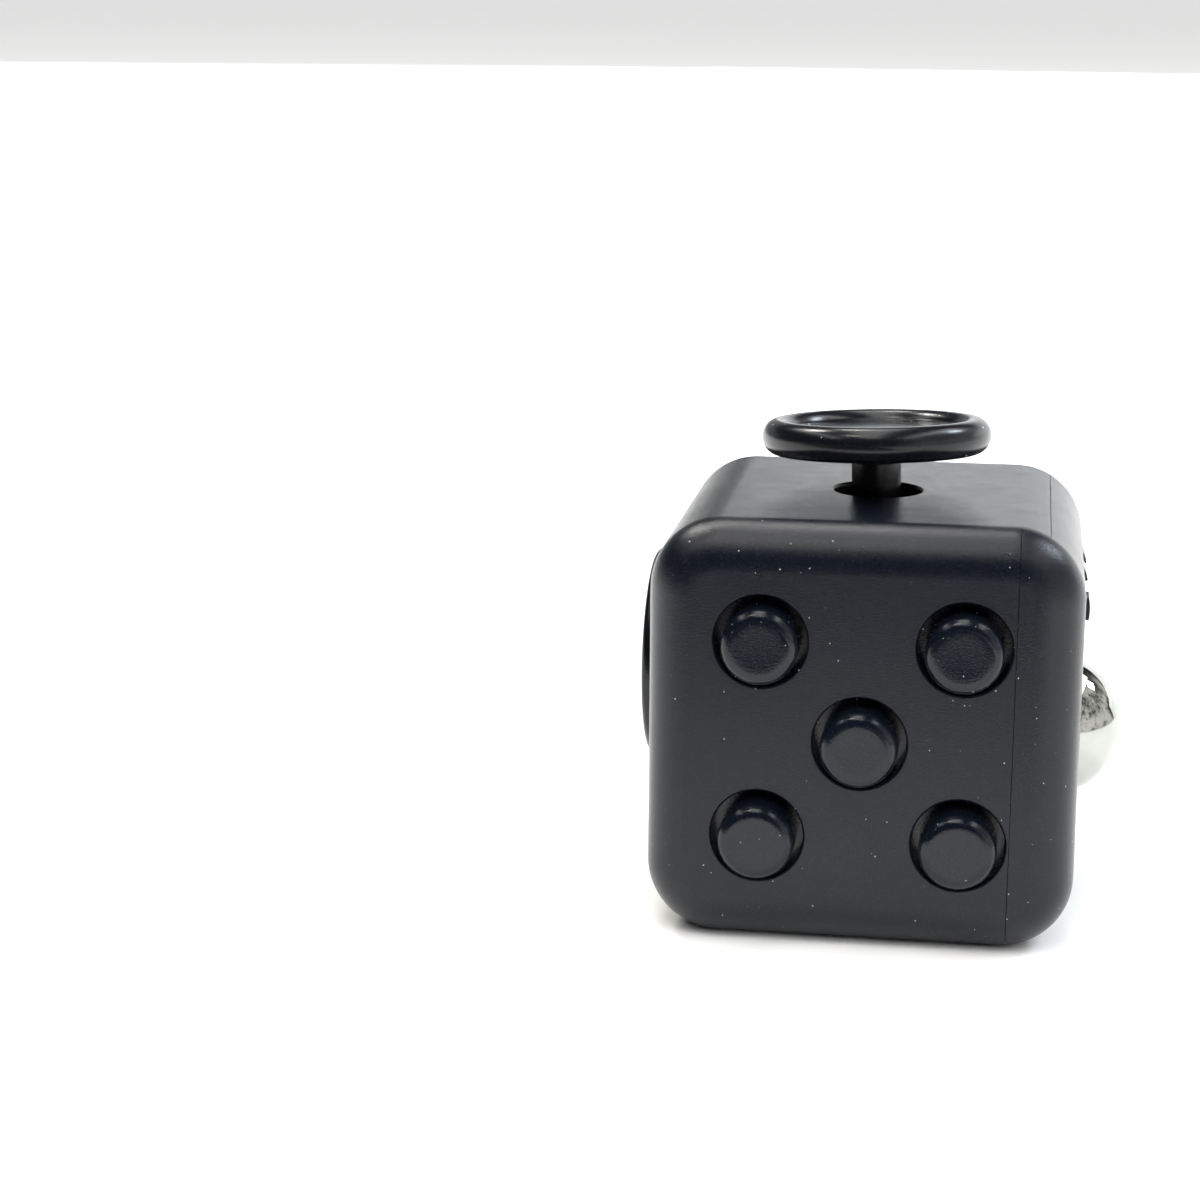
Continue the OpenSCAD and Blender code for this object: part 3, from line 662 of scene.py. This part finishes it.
class FIDGET_OT_case(bpy.types.Operator):
    """Models the case: five walls with the holes of its controls, and the thumb dish"""

    bl_idname = "fidget.case"
    bl_label = "Case"

    def execute(self, context):
        case, controls = context.scene.fidget_case, context.scene.fidget_controls
        half, wall, lip = case.edge / 2, case.wall, case.lip
        shell = rounded_cube(case)
        combine(shell, cover_space(case, case.seam / 2), "DIFFERENCE")
        combine(shell, case_hollow(case), "DIFFERENCE")

        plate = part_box("button_backplate")[0].y
        sunk = wall - 0.3 * MM
        bosses = [rod(2 * MM, (x, -half + sunk, z), (x, plate, z)) for x, z in plate_screws(half)]
        dish_back = (0, 0, wall - 0.2 * MM + case.dish_depth)
        bosses.append(rod(case.dish_radius + 1.5 * MM, (0, 0, sunk), dish_back, 96))
        combine(shell, joined(bosses, "bosses"), "UNION")

        cuts = []
        # The loose caps hang a little below the middle of their holes.
        sag = 0.2 * MM
        for x, z in cap_centres():
            cuts.append(hole(controls.cap_hole, wall + MM, lip, (x, -half, z + sag), (0, -1, 0)))
        cuts.append(hole(case.stem_hole, wall + MM, lip, (0, 0, case.edge), (0, 0, 1)))
        dial_low, dial_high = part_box("dial_knob")
        dial_z = (dial_low.z + dial_high.z) / 2
        cuts.append(hole(2.56 * MM, wall + MM, 0.1 * MM, (-half, 0, dial_z), (-1, 0, 0)))
        for x, z in plate_screws(half):
            cuts.append(rod(0.73 * MM, (x, -half + MM, z), (x, plate + MM, z)))
        cuts.append(self.dish(case))
        low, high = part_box("rocker_housing")
        bezel = 0.95 * MM
        near = (low.x + bezel, half - wall - MM, low.z + bezel)
        cuts.append(block(near, (high.x - bezel, half + MM, high.z - bezel)))
        combine(shell, joined(cuts, "cuts"), "DIFFERENCE")
        shell.name = shell.data.name = "case_shell"
        smooth(shell)
        coat(shell, "case_plastic")
        hand_over(shell, "case", "case_body")
        return {"FINISHED"}

    def dish(self, case):
        """The cutter of the thumb dish: part of a ball, with a rounded lip."""
        r, d = case.dish_radius, case.dish_depth
        ball = (r * r + d * d) / (2 * d)
        reach = math.degrees(math.asin(r / ball))
        outline = arc((0, d - ball), ball, 90, 90 - reach + 2, 28)
        outline += [(r + 0.15 * MM, 0.06 * MM), (r + 0.5 * MM, 0), (r + 0.5 * MM, -MM), (0, -MM)]
        return lathe("dish", outline, (0, 0, 0), (0, 0, 1), 128)


class FIDGET_OT_cover(bpy.types.Operator):
    """Models the side cover: the right wall with the openings of ball and wheels, and four tongues"""

    bl_idname = "fidget.cover"
    bl_label = "Side cover"

    def execute(self, context):
        case = context.scene.fidget_case
        half, wall = case.edge / 2, case.wall
        shell = rounded_cube(case)
        combine(shell, cover_space(case, -case.seam / 2), "INTERSECT")
        combine(shell, case_hollow(case), "DIFFERENCE")
        room = block(
            (half - case.seam_top - 0.1 * MM, -half + wall, wall + 2.2 * MM),
            (half - wall, half - wall, case.edge - wall - 2.2 * MM),
        )
        combine(shell, room, "DIFFERENCE")
        tongues = []
        for side in (-1, 1):
            for foot in (wall + 0.1 * MM, case.edge - wall - 1.1 * MM):
                left = half - case.seam_top - 2 * MM
                near, beyond = sorted((side * 9 * MM, side * 12.4 * MM))
                tongues.append(block((left, near, foot), (left + 2.4 * MM, beyond, foot + MM)))
        combine(shell, joined(tongues, "tongues"), "UNION")

        ball_low, ball_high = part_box("roller_ball")
        centre = (ball_low + ball_high) / 2
        radius = (ball_high.x - ball_low.x) / 2 + 0.12 * MM
        across = math.sqrt(radius**2 - (half - centre.x) ** 2)
        lip = 0.25 * MM
        outline = [(0, -radius), (radius, -radius * 0.98)] + arc((0, 0), radius, 0, 12, 6)
        outline += arc((across + lip, half - centre.x - lip), lip, 165, 90, 6)
        outline += [(across + lip, half - centre.x + MM), (0, half - centre.x + MM)]
        cuts = [lathe("socket", outline, centre, (1, 0, 0), 128)]
        for name in ("front", "middle", "back"):
            low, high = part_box(f"gear_{name}")
            axle = ((low.x + high.x) / 2, low.y - 0.3 * MM, (low.z + high.z) / 2)
            cuts.append(rod(4.8 * MM, axle, (axle[0], high.y + 0.3 * MM, axle[2]), 96))
        combine(shell, joined(cuts, "cuts"), "DIFFERENCE")
        shell.name = shell.data.name = "cover_shell"
        smooth(shell)
        coat(shell, "case_plastic")
        hand_over(shell, "case", "side_cover")
        return {"FINISHED"}


# ---------------------------------------------------------------- controls


class FIDGET_OT_buttons(bpy.types.Operator):
    """Turns one button cap with its flange and nub, and copies it to the five places"""

    bl_idname = "fidget.buttons"
    bl_label = "Push buttons"

    def execute(self, context):
        sizes = context.scene.fidget_controls
        half, wall = context.scene.fidget_case.edge / 2, context.scene.fidget_case.wall
        r, top, edge = sizes.cap_radius, sizes.cap_height, sizes.cap_round
        under = -wall - 0.1 * MM
        flange = sizes.cap_hole + 0.66 * MM
        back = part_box("button_cap_1")[1].y + half
        outline = [(0, -back), (1.2 * MM, -back), (1.2 * MM, under - MM), (flange, under - MM)]
        outline += [(flange, under), (r, under), (r, top - edge - 0.4 * MM)]
        outline += arc((r - edge, top - edge), edge, 0, 80, 9)
        outline += [(r - 1.15 * edge, top), (r * 0.5, top - 0.015 * MM), (0, top - 0.03 * MM)]
        x, z = cap_centres()[0]
        first = lathe("cap_1", outline, (x, -half, z), (0, -1, 0), 96)
        smooth(first, 50)
        coat(first, "cap_plastic")
        for i, (to_x, to_z) in enumerate(cap_centres()[1:], 2):
            copy = duplicate(first, f"cap_{i}", (to_x - x, 0, to_z - z))
            hand_over(copy, f"button_{i}", f"button_cap_{i}")
        hand_over(first, "button_1", "button_cap_1")
        return {"FINISHED"}


class FIDGET_OT_joystick(bpy.types.Operator):
    """Turns the joystick: a dished thumb disc with a round rim, its stem, its hub and the two pins"""

    bl_idname = "fidget.joystick"
    bl_label = "Joystick"

    def execute(self, context):
        sizes = context.scene.fidget_controls
        joint = frame_joint("joystick_tilt_left_right")
        pivot, pin_axis = Vector(joint["pos_m"]), Vector(joint["axis"]).normalized()
        across = Vector((1, 0, 0))
        upright = across.cross(pin_axis)
        up = Matrix.Rotation(-sizes.lean_left, 3, pin_axis) @ upright
        rim, flare = sizes.rim_thickness / 2, sizes.rim_width / 2
        crest = sizes.disc_radius - flare
        middle = context.scene.fidget_case.edge + sizes.disc_height - pivot.z
        dish = middle + rim - 0.9 * MM
        stem = sizes.stem_radius
        outline = [(0, dish - 0.05 * MM), (crest - 3.6 * MM, dish - 0.02 * MM), (crest - 2.5 * MM, dish)]
        outline += [(crest - 1.9 * MM, dish + 0.04 * MM), (crest - 1.45 * MM, dish + 0.16 * MM)]
        outline += [(crest + flare * c, middle + rim * h) for c, h in arc((0, 0), 1.0, 148, -90, 34)]
        outline += [(crest - MM, middle - rim), (stem + 1.2 * MM, middle - rim)]
        outline += arc((stem + 0.8 * MM, middle - rim - 0.8 * MM), 0.8 * MM, 90, 180, 6)
        outline += [(stem, 1.4 * MM), (2.2 * MM, 1.2 * MM), (2.2 * MM, -1.3 * MM)]
        outline += [(1.4 * MM, -1.3 * MM), (1.4 * MM, -2.9 * MM), (0, -2.9 * MM)]
        knob = lathe("joystick", outline, pivot, up, 144)
        reach = 4.4 * MM * pin_axis
        combine(knob, rod(0.7 * MM, pivot - reach, pivot + reach), "UNION")
        smooth(knob, 40)
        coat(knob, "control_plastic")
        hand_over(knob, "joystick", "joystick_knob")
        return {"FINISHED"}


class FIDGET_OT_ball(bpy.types.Operator):
    """Turns the polished steel ball, with the faint lapping flats at its two poles"""

    bl_idname = "fidget.ball"
    bl_label = "Steel ball"

    def execute(self, context):
        low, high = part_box("roller_ball")
        radius = (high.z - low.z) / 2
        centre = (low + high) / 2
        outline = [(0, -radius)] + arc((0, 0), radius, -89, 89, 96) + [(0, radius)]
        ball = lathe("steel_ball", outline, centre, (0, 1, 0), 160)
        alone(ball)
        bpy.ops.object.shade_smooth()
        coat(ball, "ball_steel")
        hand_over(ball, "ball", "roller_ball")
        return {"FINISHED"}


class FIDGET_OT_gears(bpy.types.Operator):
    """Cuts one toothed wheel, breaks its edges and copies it to the three places on the axle"""

    bl_idname = "fidget.gears"
    bl_label = "Toothed wheels"

    def execute(self, context):
        teeth = context.scene.fidget_controls.gear_teeth
        low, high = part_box("gear_front")
        r = 4.4 * MM
        x, z = high.x - r, (low.z + high.z) / 2
        wheel = rod(r, (x, low.y, z), (x, high.y, z), 160, "wheel_front")
        cuts = [rod(1.06 * MM, (x, low.y - MM, z), (x, high.y + MM, z))]
        for i in range(teeth):
            turn = (i + 0.5) * 2 * math.pi / teeth
            at_x, at_z = x + r * math.cos(turn), z + r * math.sin(turn)
            cuts.append(rod(0.9 * MM, (at_x, low.y - MM, at_z), (at_x, high.y + MM, at_z), 40))
        combine(wheel, joined(cuts, "cuts"), "DIFFERENCE")
        soften(wheel, 0.12 * MM, 3, 35)
        smooth(wheel, 40)
        coat(wheel, "control_plastic")
        for name in ("middle", "back"):
            copy = duplicate(wheel, f"wheel_{name}", (0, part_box(f"gear_{name}")[0].y - low.y, 0))
            turn_mesh(copy, math.pi / teeth, "Y", (x, 0, z))
            hand_over(copy, f"gear_{name}_wheel", f"gear_{name}")
        hand_over(wheel, "gear_front_wheel", "gear_front")
        return {"FINISHED"}


class FIDGET_OT_dial(bpy.types.Operator):
    """Turns the dial with its shaft, and sinks the finger dimple into its face"""

    bl_idname = "fidget.dial"
    bl_label = "Dial"

    def execute(self, context):
        sizes = context.scene.fidget_controls
        half, wall = context.scene.fidget_case.edge / 2, context.scene.fidget_case.wall
        low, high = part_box("dial_knob")
        z = (low.z + high.z) / 2
        r, top = sizes.dial_radius, sizes.dial_height
        end = -(high.x + half)
        core = -wall - 0.3 * MM
        outline = [(0, end), (1.6 * MM, end), (1.6 * MM, core), (2.5 * MM, core), (2.5 * MM, 0.1 * MM)]
        outline += [(r - 0.3 * MM, 0.1 * MM), (r, 0.4 * MM)]
        outline += arc((r - 0.6 * MM, top - 0.6 * MM), 0.6 * MM, 0, 90, 8)
        outline += [(r - 1.5 * MM, top), (r - 1.65 * MM, top - 0.1 * MM), (r - 1.8 * MM, top - 0.1 * MM)]
        outline += [(r - 1.95 * MM, top), (0, top)]
        dial = lathe("dial", outline, (-half, 0, z), (-1, 0, 0), 128)
        ball, rise = 3.2 * MM, 2.5 * MM
        across = math.sqrt(ball**2 - rise**2)
        lip = 0.2 * MM
        cutter = [(0, -ball)] + arc((0, 0), ball, -88, -55, 12)
        cutter += arc((across + lip, -rise - lip), lip, 150, 90, 5) + [(across + lip, 0), (0, 0)]
        place = (-half - top - rise, 0, z + 0.54 * r)
        combine(dial, lathe("dimple", cutter, place, (-1, 0, 0), 96), "DIFFERENCE")
        smooth(dial, 40)
        coat(dial, "control_plastic")
        hand_over(dial, "dial", "dial_knob")
        return {"FINISHED"}


class FIDGET_OT_rocker(bpy.types.Operator):
    """Models the rocker with its two raised ends, and the framed housing that it sits in"""

    bl_idname = "fidget.rocker"
    bl_label = "Rocker switch"

    def execute(self, context):
        half = context.scene.fidget_case.edge / 2
        sizes = context.scene.fidget_controls
        pivot = Vector((0, half - 2.1 * MM, half))
        pin_end = Vector((8 * MM, 0, 0))
        reach, width, steps = 6.1, 8.2 * MM, 8
        along = [i / steps - 1 for i in range(2 * steps + 1)]
        top = [(1.5 + 0.9 * t**2, t * reach) for t in along]
        under = [(-0.4, reach - 0.1), (-2.2, 1.8), (-2.2, -1.8), (-0.4, 0.1 - reach)]
        rocker = self.prism([(y * MM, h * MM) for y, h in top + under], width, pivot)
        turn_mesh(rocker, sizes.rocker_tilt, "X", pivot)
        combine(rocker, rod(0.86 * MM, pivot - pin_end, pivot + pin_end), "DIFFERENCE")
        soften(rocker, 0.25 * MM, 4, 40)
        smooth(rocker, 40)
        rocker.name = rocker.data.name = "rocker"
        coat(rocker, "control_plastic")
        hand_over(rocker, "rocker", "rocker_switch")

        self.housing(half, pivot, pin_end)
        return {"FINISHED"}

    def housing(self, half, pivot, pin_end):
        """The framed box that the rocker sits in, with a snap barb above and below."""
        low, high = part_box("rocker_housing")
        bezel, wall, barb = MM, 0.8 * MM, 0.45 * MM
        housing = block((low.x, half, low.z), (high.x, high.y, high.z), "rocker_frame")

        def runs_back(a, b):
            return abs(a.y - b.y) > 0.3 * MM

        def on_face(a, b):
            return same(a.y, high.y) and same(b.y, high.y)

        round_edges(housing, runs_back, 1.0 * MM, 8)
        round_edges(housing, on_face, 0.35 * MM, 5)
        near = (low.x + bezel, low.y, low.z + bezel)
        box = block(near, (high.x - bezel, half + 0.1 * MM, high.z - bezel))
        near = (-2.5 * MM, half - 2.9 * MM, low.z + bezel - barb)
        barbs = block(near, (2.5 * MM, half - 2.1 * MM, high.z - bezel + barb))
        for part in (box, barbs):
            combine(housing, part, "UNION")
        inner = bezel + wall
        near = (low.x + inner, low.y + wall, low.z + inner)
        opening = block(near, (high.x - inner, half + 2 * MM, high.z - inner))
        round_edges(opening, runs_back, 0.25 * MM, 4)
        combine(housing, opening, "DIFFERENCE")
        combine(housing, rod(0.83 * MM, pivot - pin_end, pivot + pin_end), "DIFFERENCE")
        smooth(housing, 32)
        coat(housing, "case_plastic")
        hand_over(housing, "case", "rocker_housing")

    def prism(self, outline, width, pivot):
        """An outline of (outward, up) points round the pivot, drawn out along X."""
        start = pivot + Vector((-width / 2, outline[0][0], outline[0][1]))
        bpy.ops.mesh.primitive_plane_add(size=MM, location=start)
        piece = settle(bpy.context.object, "rocker")
        bpy.ops.object.mode_set(mode="EDIT")
        bpy.ops.mesh.select_mode(type="VERT")
        bpy.ops.mesh.select_all(action="SELECT")
        bpy.ops.mesh.merge(type="CENTER")
        for before, after in zip(outline, outline[1:]):
            step = Vector((0, after[0] - before[0], after[1] - before[1]))
            bpy.ops.mesh.extrude_region_move(TRANSFORM_OT_translate={"value": step})
        bpy.ops.mesh.select_all(action="SELECT")
        bpy.ops.mesh.edge_face_add()
        bpy.ops.mesh.extrude_region_move(TRANSFORM_OT_translate={"value": (width, 0, 0)})
        bpy.ops.mesh.select_all(action="SELECT")
        bpy.ops.mesh.normals_make_consistent(inside=False)
        bpy.ops.object.mode_set(mode="OBJECT")
        return piece


class FIDGET_OT_springs(bpy.types.Operator):
    """Makes the click domes and soft pads of the buttons and the ball from copies of their imported parts"""

    bl_idname = "fidget.springs"
    bl_label = "Domes and pads"

    def execute(self, context):
        for joint in frame["record"]["behaviour"]["joints"]:
            for part in joint.get("deforming_nodes", []):
                node = part["node"]
                spring = bpy.data.objects.new(f"sprung_{node}", frame["nodes"][node].data.copy())
                context.scene.collection.objects.link(spring)
                settle(spring)
                bpy.ops.object.mode_set(mode="EDIT")
                bpy.ops.mesh.select_all(action="SELECT")
                bpy.ops.mesh.remove_doubles(threshold=1e-7)
                bpy.ops.object.mode_set(mode="OBJECT")
                smooth(spring, 40)
                slot = slot_of(node)
                coat(spring, slot)
                hand_over(spring, "case", node)
                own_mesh(spring)
        return {"FINISHED"}


class FIDGET_OT_inner_finishes(bpy.types.Operator):
    """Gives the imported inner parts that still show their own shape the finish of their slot"""

    bl_idname = "fidget.inner_finishes"
    bl_label = "Inner parts"

    def execute(self, context):
        for name, node in frame["nodes"].items():
            coat(node, slot_of(name))
        return {"FINISHED"}


# ---------------------------------------------------------------- stage


def lamp(name, place, target, width, height, power, rgb):
    """A soft rectangular lamp that faces the target."""
    bpy.ops.object.light_add(type="AREA", location=place)
    light = bpy.context.object
    light.name = name
    light.data.shape = "RECTANGLE"
    light.data.size = width
    light.data.size_y = height
    light.data.energy = power
    light.data.color = rgb
    light.rotation_euler = (Vector(target) - Vector(place)).to_track_quat("-Z", "Y").to_euler()


def matt(obj, name, rgb, glow=0.0):
    """Gives a stage piece a plain matt finish that may glow white."""
    material, _, shader = new_material(name)
    shader.inputs["Base Color"].default_value = (*rgb, 1.0)
    shader.inputs["Roughness"].default_value = 1.0
    shader.inputs["Specular IOR Level"].default_value = 0.0
    shader.inputs["Emission Color"].default_value = (1.0, 1.0, 1.0, 1.0)
    shader.inputs["Emission Strength"].default_value = glow
    obj.data.materials.append(material)


class FIDGET_OT_stage(bpy.types.Operator):
    """Sets the floor, the soft lamps, the dim room and the camera"""

    bl_idname = "fidget.stage"
    bl_label = "Stage"

    def reflection_shade_card(self, stage):
        """A dark card over the near floor, seen only in reflections: painted shade in what the front faces mirror
        of the near floor.
        """
        bpy.ops.mesh.primitive_plane_add(size=1.0)
        card = bpy.context.object
        card.name = "reflection_shade_card"
        wide, deep = 0.76, 1.5
        card.scale = (wide, deep, 1.0)
        card.location = (-0.32, -stage.shade_card_start - deep / 2, 1.5 * MM)
        bpy.ops.object.transform_apply()
        # Painted shade: this card darkens only the reflections of the near floor, not the floor itself.
        matt(card, "Reflection shade card", (0.02, 0.02, 0.02))
        card.visible_camera = card.visible_shadow = card.visible_diffuse = False

    def pale_wall(self):
        """A pale wall far out on the floor, seen only by a camera that reaches it."""
        bpy.ops.mesh.primitive_cylinder_add(
            vertices=96, radius=28.0, depth=24.0, end_fill_type="NOTHING"
        )
        wall = bpy.context.object
        wall.name = "pale_wall"
        matt(wall, "Pale wall", (0.0, 0.0, 0.0), glow=1.0)
        wall.visible_glossy = wall.visible_shadow = wall.visible_diffuse = False

    def room(self, stage):
        """The dim room: even and dark, with the paler clutter of a room on the right."""
        world = bpy.data.worlds.new("Dim room")
        world.use_nodes = True
        tree = world.node_tree
        background = tree.nodes["Background"]
        direction = tree.nodes.new("ShaderNodeTexCoord").outputs["Generated"]
        split = tree.nodes.new("ShaderNodeSeparateXYZ")
        link(tree, direction, split.inputs[0])
        blotches = noise(tree, direction, 3.2, 5.0, 0.68)
        pale = stretch(tree, blotches, 0.4, 0.56, 0.12, 1.0)
        right = stretch(tree, split.outputs["X"], 0.35, 0.75, 0.0, 1.0)
        clutter = arithmetic(tree, "MULTIPLY", pale, right)
        colours = mixed(tree, clutter, tuple(stage.surround), (1.15, 1.13, 1.08))
        link(tree, colours, background.inputs["Color"])
        return world

    def lights(self, stage):
        """An even light from above that leaves no mirror image, and the soft lamps."""
        bpy.ops.object.light_add(type="SUN", location=(0, 0, 1))
        sun = bpy.context.object
        sun.name = "overhead"
        sun.data.energy = stage.sun
        sun.data.angle = math.radians(80)
        sun.rotation_euler = (math.radians(26), math.radians(14), 0)
        sun.visible_glossy = False
        aim = (0, 0, 0.02)
        warm, white, cool = (1.0, 0.98, 0.9), (1.0, 1.0, 0.97), (0.96, 0.99, 1.0)
        k = stage.lamps
        strips = (("left", -0.78, 0.24), ("middle", -0.08, 0.34), ("right", 0.62, 0.24))
        for side, x, wide in strips:
            lamp(f"{side}_strip", (x, 0.0, 0.95), (x, 0.0, 0), wide, 1.6, 17.5 * wide * k, white)
        lamp("backdrop_right", (1.27, 1.6, 0.3), (1.12, 0, 0.1), 3.0, 0.8, 11.5 * k, cool)
        lamp("backdrop_left", (-1.65, 1.6, 0.3), (-1.5, 0, 0.1), 2.8, 0.8, 2.6 * k, cool)
        lamp("left_lamp", (-0.47, 0.38, 0.8), aim, 0.16, 0.13, 3.4 * k, warm)
        lamp("back_lamp", (-0.17, 0.5, 0.86), aim, 0.12, 0.08, 0.9 * k, (1.0, 0.98, 0.92))
        lamp("front_lamp", (-0.3, -0.34, 0.88), aim, 0.16, 0.12, 0.9 * k, (1.0, 0.95, 0.85))
        lamp("window", (0.64, 0.36, 0.68), aim, 0.2, 0.16, 3.2 * k, (0.78, 0.88, 1.0))

    def camera(self, stage):
        """The camera, a little above the cube and to its right."""
        bpy.ops.object.camera_add()
        camera = bpy.context.object
        camera.name = "camera"
        right = Vector((0.987762, 0.155884, 0.005164))
        forward = Vector((-0.150576, 0.961715, -0.228977))
        up = right.cross(forward)
        turn = Matrix((right, up, -forward)).transposed()
        camera.matrix_world = Matrix.Translation((0.011131, -0.214743, 0.074059)) @ turn.to_4x4()
        camera.data.lens = stage.lens
        camera.data.sensor_width = 36.0
        camera.data.clip_start = 0.005
        camera.data.clip_end = 100.0
        return camera

    def execute(self, context):
        scene, stage = context.scene, context.scene.fidget_stage
        bpy.ops.object.select_all(action="DESELECT")
        bpy.ops.mesh.primitive_plane_add(size=60, location=(0, 0, 0))
        floor = settle(bpy.context.object, "floor")
        matt(floor, "Pale floor", tuple(stage.floor))
        scene.world = self.room(stage)
        # Painted shade: a card seen only in reflections darkens what the front faces mirror of the near floor.
        self.reflection_shade_card(stage)
        self.pale_wall()
        self.lights(stage)
        scene.camera = self.camera(stage)
        scene.view_settings.view_transform = "Standard"
        scene.view_settings.look = "None"
        return {"FINISHED"}


# ---------------------------------------------------------------- panel and start


MAKERS = (
    FIDGET_OT_case,
    FIDGET_OT_cover,
    FIDGET_OT_buttons,
    FIDGET_OT_joystick,
    FIDGET_OT_ball,
    FIDGET_OT_gears,
    FIDGET_OT_dial,
    FIDGET_OT_rocker,
    FIDGET_OT_springs,
    FIDGET_OT_inner_finishes,
    FIDGET_OT_stage,
)


class FIDGET_PT_panel(bpy.types.Panel):
    bl_idname = "FIDGET_PT_panel"
    bl_label = "Fidget cube"
    bl_space_type = "VIEW_3D"
    bl_region_type = "UI"
    bl_category = "Fidget cube"

    def draw(self, context):
        for group in ("fidget_case", "fidget_controls", "fidget_finishes", "fidget_stage"):
            box = self.layout.box()
            settings = getattr(context.scene, group)
            for name in settings.__annotations__:
                box.prop(settings, name)
        for maker in MAKERS:
            self.layout.operator(maker.bl_idname)


GROUPS = {
    "fidget_case": CaseSizes,
    "fidget_controls": ControlSizes,
    "fidget_finishes": Finishes,
    "fidget_stage": StageSettings,
}


def register():
    for name, group in GROUPS.items():
        bpy.utils.register_class(group)
        setattr(bpy.types.Scene, name, PointerProperty(type=group))
    for item in (*MAKERS, FIDGET_PT_panel):
        bpy.utils.register_class(item)


def unregister():
    for item in (FIDGET_PT_panel, *reversed(MAKERS)):
        bpy.utils.unregister_class(item)
    for name, group in GROUPS.items():
        delattr(bpy.types.Scene, name)
        bpy.utils.unregister_class(group)


def main():
    register()
    bpy.ops.fidget.case()
    bpy.ops.fidget.cover()
    bpy.ops.fidget.buttons()
    bpy.ops.fidget.joystick()
    bpy.ops.fidget.ball()
    bpy.ops.fidget.gears()
    bpy.ops.fidget.dial()
    bpy.ops.fidget.rocker()
    bpy.ops.fidget.springs()
    bpy.ops.fidget.inner_finishes()
    bpy.ops.fidget.stage()
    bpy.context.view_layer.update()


if __name__ == "__main__":
    main()
